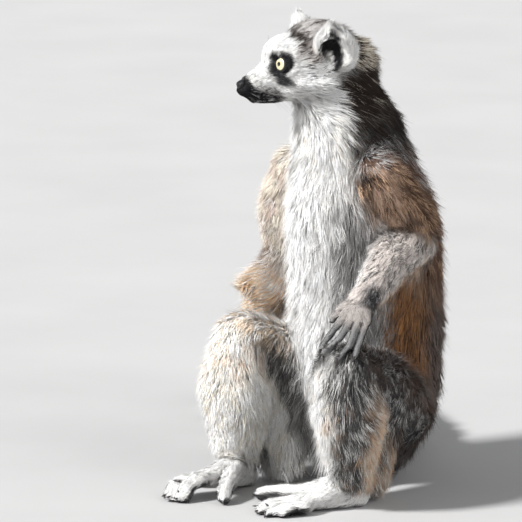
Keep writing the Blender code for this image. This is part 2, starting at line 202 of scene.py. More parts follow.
class Neighbours:
    """Averages over the points that an edge joins to each point of a mesh."""

    SHRINK, REGROW = 0.55, 0.57  # steps that smooth a surface and keep its volume

    def __init__(self, count, edges):
        ends = edges.T.ravel()
        order = np.argsort(ends, kind="stable")
        self.others = edges[:, ::-1].T.ravel()[order]
        self.starts = np.searchsorted(ends[order], np.arange(count))
        self.degree = np.bincount(ends, minlength=count).astype(float)

    def mean(self, values):
        total = np.add.reduceat(values[self.others], self.starts, axis=0)
        return total / (self.degree if values.ndim == 1 else self.degree[:, None])

    def blur(self, values, rounds):
        for _ in range(rounds):
            values = (values + self.mean(values)) / 2
        return values

    def relax(self, points, rounds):
        for _ in range(rounds):
            points = points + self.SHRINK * (self.mean(points) - points)
            points = points - self.REGROW * (self.mean(points) - points)
        return points


def triangle_vectors(points, triangles):
    """A vector out of each triangle, twice as long as the triangle is large."""
    corners = points[triangles]
    return np.cross(corners[:, 1] - corners[:, 0], corners[:, 2] - corners[:, 0])


def point_normals(points, triangles):
    across = triangle_vectors(points, triangles)
    total = np.zeros_like(points)
    for axis in range(3):
        weights = np.repeat(across[:, axis], 3)
        total[:, axis] = np.bincount(triangles.ravel(), weights, minlength=len(points))
    return unit(total)


# ---- places on the frame


def node_points(name):
    return mesh_arrays(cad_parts[name].data)[0]


def centre(node):
    low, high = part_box(node)
    return np.array((low + high) / 2)


def meeting(one, other):
    """The middle of the places where two neighbouring nodes touch."""
    tree = point_tree(node_points(other))
    points = node_points(one)
    distances = np.array([tree.find(point)[2] for point in points])
    touching = distances <= np.partition(distances, 8)[8] + 2 * MM
    return points[touching].mean(axis=0)


def joints(one, other):
    """The places where a limb's two nodes meet, on each side of the body."""
    return {side: meeting(one + side, other + side) for side in SIDES}


def ends(stem, way):
    """On each side of the body, the middle of the fifth of a node that is farthest that way."""
    found = {}
    for side in SIDES:
        points = node_points(stem + side)
        reach = points @ way
        found[side] = points[reach > reach.max() - 0.2 * np.ptp(reach)].mean(axis=0)
    return found


SIDES = {"left": 1, "right": -1}
UP = np.array([0.0, 0.0, 1.0])
REAR = np.array([0.0, 1.0, 0.0])
FLESH = sorted(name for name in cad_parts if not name.startswith(("eye", "nose")))

EYE_CENTRES = {side: centre("eye_" + side) for side in SIDES}
EYE_RADIUS = (EYE_CENTRES["left"] - np.array(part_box("eye_left")[0]))[2]
NOSE = centre("nose")
NOSE_RADIUS = (np.array(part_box("nose")[1]) - NOSE)[2]
EYES_MIDDLE = (EYE_CENTRES["left"] + EYE_CENTRES["right"]) / 2
NOSE_DROP = radians(23.5)  # how far below straight ahead the nose lies from the eyes

HEAD_LEFT = unit(EYE_CENTRES["left"] - EYE_CENTRES["right"])
TO_NOSE = unit(NOSE - EYES_MIDDLE - HEAD_LEFT * ((NOSE - EYES_MIDDLE) @ HEAD_LEFT))
HEAD_FORWARD = TO_NOSE * cos(NOSE_DROP) + np.cross(TO_NOSE, HEAD_LEFT) * sin(NOSE_DROP)
HEAD_UP = np.cross(HEAD_FORWARD, HEAD_LEFT)
HEAD_CENTRE = EYES_MIDDLE - (HEAD_FORWARD * 29 + HEAD_UP * 2) * MM

GAZE_SPREAD = radians(24)  # how far each eye looks outward
GAZE_RISE = 0.16  # and how far it looks up
GAZE_AHEAD = HEAD_FORWARD * cos(GAZE_SPREAD) + HEAD_UP * GAZE_RISE
GAZES = {
    side: unit(GAZE_AHEAD + HEAD_LEFT * sign * sin(GAZE_SPREAD)) for side, sign in SIDES.items()
}

SHOULDERS = ends("upper_arm_", UP)
ELBOWS = ends("upper_arm_", -UP)
WRISTS = joints("forearm_", "hand_")
HIPS = ends("thigh_", REAR)
KNEES = ends("lower_leg_", UP)
ANKLES = joints("lower_leg_", "foot_")
HEELS = ends("foot_", REAR)
EAR_BASES = {side: meeting("ear_" + side, "head") for side in SIDES}
TRUNK = centre("trunk")
LIMBS = {
    "upper_arm": (SHOULDERS, ELBOWS),
    "forearm": (ELBOWS, WRISTS),
    "thigh": (HIPS, KNEES),
    "lower_leg": (KNEES, ANKLES),
}

VIEW_AZIMUTH = radians(38)
VIEW_ELEVATION = radians(11)
VIEW_DISTANCE = 5.0
VIEW_WIDTH = 0.4489  # metres across the picture, where the animal sits
VIEW_SHIFT = (-0.0894, 0.1858)  # from the frame's origin to the middle of the picture

VIEW_RIGHT = np.array([cos(VIEW_AZIMUTH), sin(VIEW_AZIMUTH), 0.0])
VIEW_BACK = np.cross(VIEW_RIGHT, UP) * cos(VIEW_ELEVATION) + UP * sin(VIEW_ELEVATION)
VIEW_UP = np.cross(VIEW_BACK, VIEW_RIGHT)
VIEW_TARGET = VIEW_RIGHT * VIEW_SHIFT[0] + VIEW_UP * VIEW_SHIFT[1]


def in_head(points):
    """Forward, left and up of points from the head's centre, in millimetres."""
    offset = (points - HEAD_CENTRE) / MM
    return offset @ HEAD_FORWARD, offset @ HEAD_LEFT, offset @ HEAD_UP


def eye_clearance(points):
    """The distance from each point to the nearer eyeball."""
    gaps = [lengths(points - spot) for spot in EYE_CENTRES.values()]
    return np.min(gaps, axis=0) - EYE_RADIUS


TAIL_NODES = sorted(name for name in FLESH if name.startswith("tail_"))
TAIL_STEPS = 12  # places on the tail's line for each of its nodes
TAIL_OVERLAP = 0.04  # how far the stretch averaged for a place reaches into the next ones
TAIL_SMOOTHING = 12


def tail_line():
    """Places along the middle of the tail, from its root to its tip."""
    starts = [meeting("trunk", TAIL_NODES[0])]
    starts += [meeting(one, other) for one, other in zip(TAIL_NODES, TAIL_NODES[1:])]
    last = node_points(TAIL_NODES[-1])
    tip = last[np.argmax(lengths(last - starts[-1]))]
    line = [starts[0]]
    for node, start, end in zip(TAIL_NODES, starts, [*starts[1:], tip]):
        points = node_points(node)
        share = (points - start) @ (end - start) / ((end - start) @ (end - start)) * TAIL_STEPS
        margin = TAIL_OVERLAP * TAIL_STEPS
        for step in range(TAIL_STEPS):
            inside = (share >= step - margin) & (share < step + 1 + margin)
            if inside.sum() > 5:
                line.append(points[inside].mean(axis=0))
    line = np.array([*line, tip])
    for _ in range(TAIL_SMOOTHING):
        line[1:-1] = (line[:-2] + 2 * line[1:-1] + line[2:]) / 4
    return line


TAIL_LINE = tail_line()


def along_tail(points):
    """The distance of points along the tail's line, and the line's direction beside them."""
    pieces = TAIL_LINE[1:] - TAIL_LINE[:-1]
    spans = lengths(pieces)
    before = np.concatenate([[0], np.cumsum(spans)[:-1]])
    offsets = points[:, None] - TAIL_LINE[:-1]
    share = np.clip((offsets * pieces).sum(axis=2) / spans**2, 0, 1)
    nearest = lengths(offsets - share[..., None] * pieces).argmin(axis=1)
    share = share[np.arange(len(points)), nearest]
    return before[nearest] + share * spans[nearest], unit(pieces[nearest])


# ---- fused flesh

CLOSING = 0.5 * MM  # how far the solids grow so that their gaps close
SKIN_VOXEL = 1.2 * MM
FINE_NODES = ("head", "ear", "hand", "foot")
COARSE_SHARE = 0.2  # of the triangles is left where a thick coat hides the skin
FACE_DIVISIONS = ((21, [EYES_MIDDLE, NOSE]), (10.5, [*EYE_CENTRES.values()]))  # reach and middles
FARTHEST_SIDE = 100 * MM  # the thickness where no other side is found


def fused_flesh():
    """One closed surface round the flesh and eyeballs, with the gaps between them closed."""
    form = bmesh.new()
    for name in [*FLESH, "eye_left", "eye_right"]:
        form.from_mesh(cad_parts[name].data)
    bmesh.ops.remove_doubles(form, verts=form.verts, dist=0.01 * MM)
    skin = linked("skin", bpy.data.meshes.new("skin"))
    form.to_mesh(skin.data)
    form.free()
    grow = skin.modifiers.new("close", "DISPLACE")
    grow.mid_level = 0
    grow.strength = CLOSING
    fuse(skin, SKIN_VOXEL)
    return skin


def nearest_nodes(points):
    """The index in FLESH of the node nearest to each point."""
    solids = [mesh_arrays(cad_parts[name].data)[:2] for name in FLESH]
    tree = surface_tree(*joined(solids))
    owners = np.repeat(np.arange(len(FLESH)), [len(triangles) for _, triangles in solids])
    return owners[[tree.find_nearest(point)[2] for point in points.tolist()]]


def thin_out(skin):
    """Leaves fewer triangles where a thick coat hides the skin."""
    owners = nearest_nodes(mesh_arrays(skin.data)[0])
    fine = np.array([name.startswith(FINE_NODES) for name in FLESH])[owners]
    group = skin.vertex_groups.new(name="coarse")
    group.add(np.flatnonzero(~fine).tolist(), 1.0, "REPLACE")
    fewer = skin.modifiers.new("fewer", "DECIMATE")
    fewer.vertex_group = group.name
    fewer.ratio = COARSE_SHARE
    apply_modifiers(skin)
    skin.vertex_groups.clear()


def refine_face(skin):
    """Divides the faces round the eyes, nose and mouth, where the skin is sculpted finely."""
    form = bmesh.new()
    form.from_mesh(skin.data)
    for reach, spots in FACE_DIVISIONS:
        close = [
            edge
            for edge in form.edges
            if any((edge.verts[0].co - Vector(spot)).length < reach * MM for spot in spots)
        ]
        bmesh.ops.subdivide_edges(form, edges=close, cuts=1, use_grid_fill=True)
        bmesh.ops.triangulate(form, faces=form.faces)
    form.to_mesh(skin.data)
    form.free()


def thickness(points, normals, triangles):
    """How far the other side of the body lies behind each point."""
    tree = surface_tree(points, triangles.tolist())
    start = 0.4 * MM
    found = []
    for point, normal in zip(points - normals * start, -normals):
        distance = tree.ray_cast(Vector(point), Vector(normal))[3]
        found.append(FARTHEST_SIDE if distance is None else distance + start)
    return np.array(found)


# ---- coat of each part

# Coat of each part of the body: depth from the tips to the skin, length and width of a tuft,
# all in millimetres, then how steeply it leaves the skin, in degrees, how much it clumps, and
# the share of thin tufts that stand out from it.
COAT = {
    "head": (3.0, 8, 0.55, 32, 0.3, 0.2),
    "ear": (1.2, 11, 0.45, 58, 0.35, 0.9),
    "neck": (8.0, 22, 0.85, 40, 0.6, 0.3),
    "trunk": (9.0, 25, 0.85, 38, 0.6, 0.35),
    "upper_arm": (6.0, 12, 0.75, 42, 0.45, 0.55),
    "forearm": (4.0, 10.5, 0.55, 36, 0.25, 0.4),
    "hand": (0.6, 3.4, 0.36, 18, 0.1, 0.1),
    "thigh": (7.0, 13, 0.75, 42, 0.4, 0.55),
    "lower_leg": (6.5, 15, 0.75, 42, 0.4, 0.5),
    "foot": (1.5, 6.0, 0.45, 26, 0.4, 0.4),
    "tail": (9.0, 18, 1.0, 46, 0.3, 0.3),
}

# The same for the places where the coat isn't that of the part.
COAT_AT = {
    "muzzle": (1.0, 3.2, 0.36, 22, 0.1, 0.1),
    "nape": (6.0, 14, 0.75, 64, 0.7, 0.7),
    "lids": (0.5, 2.2, 0.3, 14, 0, 0),
    "throat": (6.0, 17, 0.7, 52, 0.5, 0.5),
    "ear_bowl": (0.8, 4.5, 0.4, 25, 0.2, 0.3),
    "elbow_tuft": (9.0, 19, 0.6, 60, 0.1, 0.9),
    "low_fluff": (8.0, 38, 0.9, 72, 0.6, 0.8),
}
ELBOW_TUFT_WAY = -VIEW_RIGHT - 0.15 * UP
SWIRL = radians(20)  # how far the lie of the hair wanders


def part_of(node):
    """The kind of body part that a node is, such as upper_arm."""
    return next(part for part in COAT if node.startswith(part))


class Area:
    """The points of one node on the fused flesh, in the measures that its coat is planned with."""

    def __init__(self, node, points, normals, hollow):
        self.node = node
        self.part = part_of(node)
        self.side = node.rsplit("_", 1)[-1]
        self.points = points
        self.normals = normals
        self.hollow = hollow
        self.height = points[:, 2] / MM
        self.forward, self.left, self.up = in_head(points)

    def noise(self, scale, seed):
        return lattice_noise(self.points, scale, seed)

    def gap(self, spot):
        """Millimetres from a spot."""
        return lengths(self.points - spot) / MM

    def around(self, middle):
        """Degrees round an upright line from its front, towards the animal's left."""
        offset = self.points - middle
        return np.degrees(np.arctan2(offset[:, 0], -offset[:, 1]))


def elbow_tuft(area):
    """How much each point belongs to the tuft that stands out below the right elbow."""
    return near(area.height, 166, 20, 10)


def ear_bowl(area):
    """How much each point lies in the hollow of an ear, and its place there, -1 to 1 each way."""
    opening = unit(HEAD_FORWARD * 0.55 + HEAD_LEFT * SIDES[area.side] * 0.8)
    offset = (area.points - centre(area.node)) / MM
    aloft = (offset @ HEAD_UP + 4) / 19
    ahead = (offset @ HEAD_FORWARD - 6.5) / (9 - 2 * aloft)
    inside = ramp(area.normals @ opening, 0.1, 0.5)
    return inside * ramp(np.hypot(ahead, aloft), 1.12, 0.88), ahead, aloft


def hair_way(area):
    """The direction in which the hair leads from the points, not yet along the skin."""
    points, part, side = area.points, area.part, area.side
    if part == "head":
        return unit(points - NOSE) - ramp(area.forward, 0, -30)[:, None] * HEAD_UP
    if part == "ear":
        return unit(points - EAR_BASES[side] + (HEAD_UP * 20 - HEAD_FORWARD * 6) * MM)
    if part == "neck":
        return unit(TRUNK - HEAD_CENTRE)
    if part == "trunk":
        outward = (points - TRUNK) * [1.0, 1.0, 0.0] / (60 * MM)
        return outward * (0.3 + 1.1 * ramp(area.height, 200, 280))[:, None] - UP
    if part == "tail":
        return along_tail(points)[1]
    if part == "hand":
        return unit(points - WRISTS[side])
    if part == "foot":
        return unit(points - HEELS[side] - UP * 10 * MM)
    start, end = LIMBS[part]
    way = unit(end[side] - start[side])
    if part == "thigh":
        return unit(way - 0.8 * UP)
    if area.node == "forearm_right":
        return mix(way, unit(ELBOW_TUFT_WAY), elbow_tuft(area))
    return way


def coat_places(area):
    """The places of COAT_AT on a node, and how much each point belongs to them."""
    forward, height = area.forward, area.height
    if area.part == "head":
        yield "muzzle", ramp(forward, 22, 46)
        yield "nape", ramp(forward, 8, -24)
        yield "lids", ramp(eye_clearance(area.points), 6 * MM, 1 * MM)
        yield "throat", ramp(area.up, -16, -24) * ramp(forward, 32, 22)
    if area.part == "ear":
        yield "ear_bowl", ear_bowl(area)[0]
    if area.node == "forearm_right":
        yield "elbow_tuft", elbow_tuft(area)
    if area.part == "trunk":
        aside, behind, _ = ((area.points - TRUNK) / MM).T
        lap = ramp(height, 80, 45) * ramp(behind, 10, -10) * ramp(np.abs(aside), 42, 24)
        yield "low_fluff", lap
    if area.node == "lower_leg_right":
        behind = (area.points - ANKLES["right"])[:, 1] / MM
        yield "low_fluff", ramp(height, 50, 25) * ramp(behind, 12, 25)


def coat_size(area):
    """The row of COAT for each point of a node, with the places of COAT_AT blended in."""
    sizes = np.tile(np.array(COAT[area.part], float), (len(area.points), 1))
    for place, share in coat_places(area):
        sizes = mix(sizes, np.array(COAT_AT[place]), share)
    return sizes


def comb(ways, points, normals, neighbours):
    """Lays the hair's directions along the skin, smooths them, and lets them wander."""
    ways = unit(ways)
    for rounds in (30, 6, 0):
        ways = ways - normals * (ways * normals).sum(axis=1, keepdims=True)
        ways = neighbours.blur(ways, rounds)
    ways = unit(ways)
    angle = SWIRL * (lattice_noise(points, 26, 1) + 0.7 * lattice_noise(points, 11, 2))
    return turned(ways, np.cross(normals, ways), angle)


def turned(ways, aside, angle):
    return ways * np.cos(angle)[:, None] + aside * np.sin(angle)[:, None]


# ---- markings

WHITE = np.array([0.92, 0.905, 0.875])
CREAM = np.array([0.82, 0.74, 0.62])
PEACH = np.array([0.72, 0.47, 0.30])
PINK_GREY = np.array([0.56, 0.43, 0.37])
TAN = np.array([0.50, 0.33, 0.22])
RUST = np.array([0.30, 0.145, 0.06])
BROWN = np.array([0.155, 0.09, 0.062])
DARK_BROWN = np.array([0.024, 0.017, 0.014])
LIGHT_GREY = np.array([0.46, 0.455, 0.45])
GREY = np.array([0.20, 0.195, 0.19])
DARK_GREY = np.array([0.055, 0.054, 0.056])
BLACK = np.array([0.012, 0.0115, 0.013])
BARE_SKIN = np.array([0.075, 0.072, 0.078])

# Where the white of the muzzle ends above the lips: forward and up from the head's centre.
LIP_EDGE = ((29, 38, 52, 58, 63), (-27, -24, -19, -15, -8))
HAND_BACKS = {"left": unit(VIEW_BACK + 0.4 * UP), "right": unit(np.array([-1.0, -0.25, 0.2]))}
SHIN_INNER_WAY = unit(np.array([0.79, 0.61, 0.0]))  # for the left leg, and mirrored for the right

RING_PERIOD = 47 * MM
RING_BLACK_SHARE = 0.52
RING_EDGE = 0.03  # half the share of a period over which black turns to white
TAIL_ROOT = 40 * MM  # the stretch at the root that has no rings
TAIL_TIP = 38 * MM  # the stretch at the tip that is all black

# Each painter yields its markings in the order in which they are laid over each other: how
# much of each point they cover, a colour, and where they have one, the second colour and the
# share of tufts that have it. A few of them are painted shade, and say so where they stand.
# Numbers are millimetres and degrees.


def paint_head(area):
    forward, up, side = area.forward, area.up, np.abs(area.left)
    wander = area.noise(5, 3)
    yield 1, WHITE, LIGHT_GREY, 0.12
    # crown: dark in front, then speckled brown and grey down to the nape
    edge = 26 - 0.55 * np.maximum(side - 6, 0) + 2 * wander
    crown = ramp(up, edge - 16, edge - 9) * ramp(forward, 27, 21) * ramp(side, 31, 25)
    yield crown, LIGHT_GREY * 0.9 + TAN * 0.12, DARK_BROWN * 1.5, 0.36
    streak = near(up - 13 - 1.2 * (forward - 13), 0, 5, 6) * ramp(forward, 7, 13)
    yield crown * streak, DARK_BROWN * 1.3, GREY, 0.25
    temple = near(forward, 9, 6, 4) * near(up, 8, 9, 5) * ramp(side, 17, 22)
    yield temple, LIGHT_GREY * 0.9 + TAN * 0.2, DARK_BROWN, 0.42
    below_ear = near(forward, 7, 7, 4) * near(up, -5, 5, 4) * ramp(side, 18, 23)
    yield below_ear, WHITE, DARK_GREY, 0.4
    yield ramp(forward, -16, -26) * ramp(up, 34, 22), DARK_BROWN * 1.6, CREAM * 0.9, 0.5
    # Low at the back of the head: the nape's dark fur, made darker as painted shadow of the ear.
    low = ramp(forward, -3, -12) * ramp(up + 4 * wander, 6, -8)
    yield low, DARK_BROWN, CREAM * 0.8, 0.07
    # bridge of the nose, and the patches round the eyes with their lobes
    yield ramp(forward, 38, 46) * ramp(up, -14, -8), WHITE * 0.92, GREY, 0.22
    lobe = near(up, -8, 6, 5) * near(forward - 36 - 0.65 * (up + 9), wander, 3.5, 4.5)
    yield lobe * (side > 8), DARK_GREY * 0.8, GREY, 0.3
    for name in SIDES:
        gap = area.gap(EYE_CENTRES[name] + GAZES[name] * 6 * MM)
        yield ramp(gap + 1.8 * wander, 12.4, 9.4), BLACK, DARK_GREY, 0.3
    # lips, nose and chin
    lip_edge = np.interp(forward, *LIP_EDGE) + 1.3 * wander
    specks = ramp(up, lip_edge + 8, lip_edge + 2) * ramp(forward, 30, 38)
    yield specks, WHITE * 0.8, DARK_GREY * 0.8, 0.4
    lips = ramp(up, lip_edge + 1.5, lip_edge - 1.5) * ramp(forward, 30, 36) * ramp(up, -31, -28)
    yield lips, BLACK, LIGHT_GREY, 0.16
    yield ramp(forward, 60, 62.5), BLACK
    yield ramp(up, -26, -30) * ramp(forward, 30, 38), BLACK, WHITE * 0.7, 0.35


def paint_ear(area):
    bowl, ahead, aloft = ear_bowl(area)
    yield 1, WHITE, CREAM, 0.12
    yield bowl, BLACK, LIGHT_GREY, 0.2 * ramp(aloft, 0.3, 0.8)
    yield bowl * near(ahead, 0.1, 0.2, 0.15) * near(aloft, -0.72, 0.16, 0.12), WHITE


def paint_neck(area):
    around = area.around(centre("neck")) + 7 * area.noise(10, 6)
    height, mottle = area.height, area.noise(8, 7)
    # Dark brown and black: the nape's own dark fur, made darker as painted shadow of the head and
    # ears.
    yield 1, DARK_BROWN, BLACK, 0.5
    yield 0.7 * ramp(mottle, 0.1, 0.6), DARK_BROWN, CREAM * 0.7, 0.2
    crest = ramp(height + 5 * mottle, 335, 354) * ramp(np.abs(around), 110, 140)
    yield crest, DARK_BROWN * 1.3, CREAM * 0.9, 0.35
    yield ramp(height, 322, 302), DARK_BROWN * 1.5, LIGHT_GREY * 1.2, 0.35
    tuck = 7 * ramp(height, 300, 322)
    yield ramp(np.abs(around + 14 + tuck), 56 - tuck, 44 - tuck), WHITE, CREAM, 0.25


def paint_trunk(area):
    around = area.around(TRUNK) + 5 * area.noise(14, 4)
    height, patchy = area.height, area.noise(9, 5)
    rear = ramp(np.abs(around), 45, 75)
    yield 1, BROWN * 0.8, PEACH * 0.6, 0.35
    yield ramp(patchy, 0.1, 0.5), BROWN * 0.6, PINK_GREY * 0.7, 0.3
    yield rear * ramp(height, 200, 150), (BROWN + GREY) * 0.45, DARK_BROWN, 0.35
    yield near(around, 68, 22, 16) * near(height, 150, 26, 24), RUST, BROWN * 0.5, 0.45
    yield rear * ramp(height, 70, 30), BROWN, DARK_BROWN, 0.5
    yield near(around, -10, 66, 14), GREY * 0.9, LIGHT_GREY, 0.4
    white_width = 30 + 10 * ramp(height, 255, 285) + 14 * ramp(height, 165, 130)
    white = ramp(np.abs(around + 12), white_width + 9, white_width - 4)
    yield white, WHITE, WHITE * 0.85, 0.2
    shade = near(height, 215, 45, 20) * ramp(around + 9 * patchy, 8, 22)
    yield white * shade, LIGHT_GREY * 0.7, WHITE, 0.45
    # Painted shade: the lowest fur of the trunk, next to the floor, is dark grey.
    yield ramp(height, 42, 22), DARK_GREY, GREY, 0.3
    yield rear * ramp(height, 262, 285), BROWN * 0.8, LIGHT_GREY, 0.35


def paint_arm(area):
    """Upper arm and forearm."""
    patchy, outer = area.noise(7, 8), area.normals @ VIEW_RIGHT
    to_elbow = area.gap(ELBOWS[area.side])
    if area.node == "upper_arm_left":
        yield 1, (PEACH + PINK_GREY) * 0.47, BROWN * 0.6, 0.42
        top = ramp(area.gap(SHOULDERS["left"]) + 5 * patchy, 24, 10)
        yield top, BROWN * 0.8, LIGHT_GREY, 0.4
        # Painted shade: the side of the upper arm turned away from the key light, towards the
        # view's right, is darker brown.
        behind = ramp(outer, 0.1, 0.75)
        yield behind, BROWN * 0.7, PEACH * 0.85, 0.38
        # Painted shade: a dark band in the fold above the elbow.
        elbow_crease_shade = near(to_elbow + 4 * patchy, 30, 4, 4) * ramp(behind, 0.8, 0.3)
        yield elbow_crease_shade, DARK_BROWN, BROWN, 0.3
        # Painted shade: dark in the crease between the upper arm and the chest.
        armpit_shade = ramp(outer, -0.2, -0.6) * near(area.height, 270, 13, 7)
        yield armpit_shade, DARK_BROWN, BLACK, 0.5
        yield ramp(patchy, 0.2, 0.5), BROWN * 0.6, PEACH * 1.1, 0.35
    if area.node == "forearm_left":
        yield 1, (WHITE + PINK_GREY) * 0.5, GREY * 0.7, 0.33
        yield ramp(area.normals[:, 2], -0.2, -0.8), PEACH, WHITE, 0.3
    if area.node == "upper_arm_right":
        yield 1, CREAM, PINK_GREY, 0.4
        yield ramp(patchy, 0.2, 0.6), BROWN, WHITE, 0.5
    if area.node == "forearm_right":
        yield 1, CREAM, WHITE, 0.4
    if area.side == "right":
        yield ramp(to_elbow + 5 * patchy, 24, 12), BROWN, LIGHT_GREY, 0.4
    yield ramp(area.normals[:, 0] * -SIDES[area.side], 0.2, 0.8), WHITE * 0.9, LIGHT_GREY, 0.2
    if area.node == "forearm_right":
        tuft = ramp(area.height, 195, 180) * ramp(area.height, 138, 150)
        yield tuft, PEACH * 1.25, WHITE, 0.4
    if area.part == "forearm":
        wrist = ramp(area.gap(WRISTS[area.side]) + 8 * patchy, 34, 16)
        yield wrist, (WHITE + PINK_GREY) * 0.48, GREY, 0.15
        # Painted shade: the wrist's side turned towards the view's right, away from the key light,
        # is dark grey.
        yield wrist * ramp(outer, -0.25, 0.25), DARK_GREY, LIGHT_GREY, 0.35


# Painted shade: the hollows between the fingers and toes are darkened where shade falls.
def shade_between_digits(area):
    return ramp(area.hollow, 0.12, 0.5), DARK_GREY * 0.6, DARK_BROWN, 0.5


def paint_hand(area):
    yield 1, (WHITE + PINK_GREY) * 0.3, GREY * 0.7, 0.3
    yield ramp(area.gap(WRISTS[area.side]), 18, 32), LIGHT_GREY * 0.58, DARK_GREY, 0.3
    yield ramp(area.normals @ HAND_BACKS[area.side], 0.65, 0.3), DARK_GREY * 0.5, BLACK, 0.3
    yield shade_between_digits(area)


def paint_leg(area):
    """Thigh and lower leg."""
    patchy, rear, top = area.noise(8, 9), area.normals[:, 1], area.normals[:, 2]
    inner = area.normals @ (SHIN_INNER_WAY * [SIDES[area.side], 1, 1])
    if area.part == "thigh":
        yield 1, GREY * 0.38, WHITE * 0.7, 0.28
        yield ramp(patchy, 0.1, 0.5), DARK_GREY, LIGHT_GREY * 1.2, 0.3
        yield ramp(rear, 0.1, 0.7), BROWN, DARK_BROWN, 0.5
    if area.node == "thigh_right":
        yield ramp(top, 0.2, 0.7), (CREAM + PEACH) / 2, WHITE, 0.5
    if area.node == "lower_leg_left":
        yield 1, GREY * 0.38, WHITE * 0.75, 0.38
        yield ramp(patchy, 0.2, 0.5), DARK_GREY, LIGHT_GREY, 0.3
        calf = ramp(area.height, 120, 95) * ramp(inner + 0.3 * patchy, 0.3, 0.85)
        yield calf, (TAN + PEACH) * 0.5, (CREAM + GREY) * 0.55, 0.5
        yield ramp(inner, -0.45, -0.7), WHITE, CREAM, 0.2
        spots = 0.7 * ramp(area.noise(6, 11), 0.45, 0.7) * ramp(inner, 0.1, -0.3)
        yield spots, PEACH * 0.7, GREY, 0.4
    if area.node == "lower_leg_right":
        yield 1, WHITE * 0.97, CREAM, 0.35
        knee = 0.8 * ramp(area.height, 85, 125) * ramp(patchy, -0.3, 0.5)
        yield knee, PEACH * 1.15, WHITE, 0.5
        yield ramp(rear, 0.2, 0.7), GREY, LIGHT_GREY, 0.4


def paint_foot(area):
    yield 1, WHITE, LIGHT_GREY, 0.2
    # Dark grey on the sides and undersides of the toes: partly their bare skin, partly painted
    # shade beneath them.
    toe_skin_and_shade = ramp(area.normals[:, 2], 0.35, -0.1) * ramp(area.gap(ANKLES[area.side]), 38, 55)
    yield toe_skin_and_shade, DARK_GREY * 0.6, GREY, 0.3
    yield ramp(area.height, 3.2, 1.8), BARE_SKIN * 0.6
    yield shade_between_digits(area)


def paint_tail(area):
    distance = along_tail(area.points)[0] + 2 * MM * area.noise(9, 10)
    to_tip = along_tail(TAIL_LINE[-1:])[0][0] - distance
    phase = (distance - TAIL_ROOT) / RING_PERIOD % 1
    yield 1, WHITE * 0.95, LIGHT_GREY, 0.15
    yield near(phase, 0.5, RING_BLACK_SHARE / 2 - RING_EDGE, 2 * RING_EDGE), BLACK, DARK_GREY, 0.2
    yield ramp(distance, TAIL_ROOT, TAIL_ROOT - 12 * MM), BROWN, GREY, 0.4
    yield ramp(to_tip, TAIL_TIP + 4 * MM, TAIL_TIP - 4 * MM), BLACK, DARK_GREY, 0.1


PAINTERS = {
    "head": paint_head,
    "ear": paint_ear,
    "neck": paint_neck,
    "trunk": paint_trunk,
    "upper_arm": paint_arm,
    "forearm": paint_arm,
    "hand": paint_hand,
    "thigh": paint_leg,
    "lower_leg": paint_leg,
    "foot": paint_foot,
    "tail": paint_tail,
}


def markings(area):
    """Seven columns: two colours for each point and the share of tufts that have the second."""
    count = len(area.points)
    marks = np.tile([*GREY, *GREY, 0.0], (count, 1))
    for cover, colour, *speckled in PAINTERS[area.part](area):
        speck, share = speckled or (colour, 0.0)
        layer = np.tile([*colour, *speck, 0.0], (count, 1))
        layer[:, 6] = share
        marks = mix(marks, layer, np.clip(cover, 0, 1))
    return marks


def soften_seams(marks, owners, neighbours):
    """Blurs the markings where two nodes meet."""
    seams = (owners != neighbours.mean(owners.astype(float))).astype(float)
    seams = neighbours.blur(seams, 3)
    return mix(marks, neighbours.blur(marks, 5), np.clip(seams * 2, 0, 1))


def plan_coat(points, normals, owners, neighbours):
    """The coat's sizes, the way of the hair and the markings at each point of the fused flesh."""
    hollow = ((neighbours.blur(points, 14) - points) * normals).sum(axis=1) / MM
    sizes, ways, marks = (np.empty((len(points), width)) for width in (6, 3, 7))
    for index, node in enumerate(FLESH):
        here = owners == index
        area = Area(node, points[here], normals[here], hollow[here])
        sizes[here] = coat_size(area)
        ways[here] = hair_way(area)
        marks[here] = markings(area)
    ways = comb(ways, points, normals, neighbours)
    return neighbours.blur(sizes, 14), ways, soften_seams(marks, owners, neighbours)


# ---- lids and mouth

LID_OPENING = radians(43)  # from the gaze to the rim of the lids
LID_SNAP = radians(3.4)  # points this near to the rim are moved on to it
LID_REACH = radians(110)
INNER_CORNER = radians(7)  # how much farther the lids open towards the nose
CORNER_WIDTH = radians(20)
LID_THICKNESS = 0.7 * MM
LID_ROLL = 0.55 * MM  # how much thicker the lids are at their rim
ROLL_WIDTH = radians(9)
SOCKET_DEPTH = 1.6 * MM
SOCKET_REACH = 7 * MM  # the coat thins out over this distance from the eyeball
MOUTH_DEPTH = 0.9
GROOVE_DEPTH = 0.5


def sculpt_lids(points):
    """Lays the skin over the eyeballs as lids, and opens it in front of them."""
    points = points.copy()
    for side, eye in EYE_CENTRES.items():
        gaze = GAZES[side]
        offset = points - eye
        reach = lengths(offset)
        ways = offset / reach[:, None]
        angle = np.arccos(np.clip(ways @ gaze, -1, 1))
        sideways = unit(ways - gaze * (ways @ gaze)[:, None])
        to_nose = unit(NOSE - eye - gaze * ((NOSE - eye) @ gaze))
        turn = np.arccos(np.clip(sideways @ to_nose, -1, 1))
        opening = LID_OPENING + INNER_CORNER * bell(turn, CORNER_WIDTH)
        close = (reach < EYE_RADIUS + 5 * MM) & (angle < LID_REACH)
        inside = close & (angle < opening - LID_SNAP)
        rim = close & (np.abs(angle - opening) <= LID_SNAP)
        outside = close & (angle > opening + LID_SNAP)
        points[inside] = eye + ways[inside] * (EYE_RADIUS - SOCKET_DEPTH)
        at_rim = turned(gaze, sideways, opening)
        points[rim] = eye + at_rim[rim] * (EYE_RADIUS + 0.25 * MM)
        roll = LID_ROLL * bell(angle - opening - LID_SNAP, ROLL_WIDTH)
        lifted = np.maximum(reach, EYE_RADIUS + LID_THICKNESS + roll)
        points[outside] = eye + ways[outside] * lifted[outside, None]
    return points


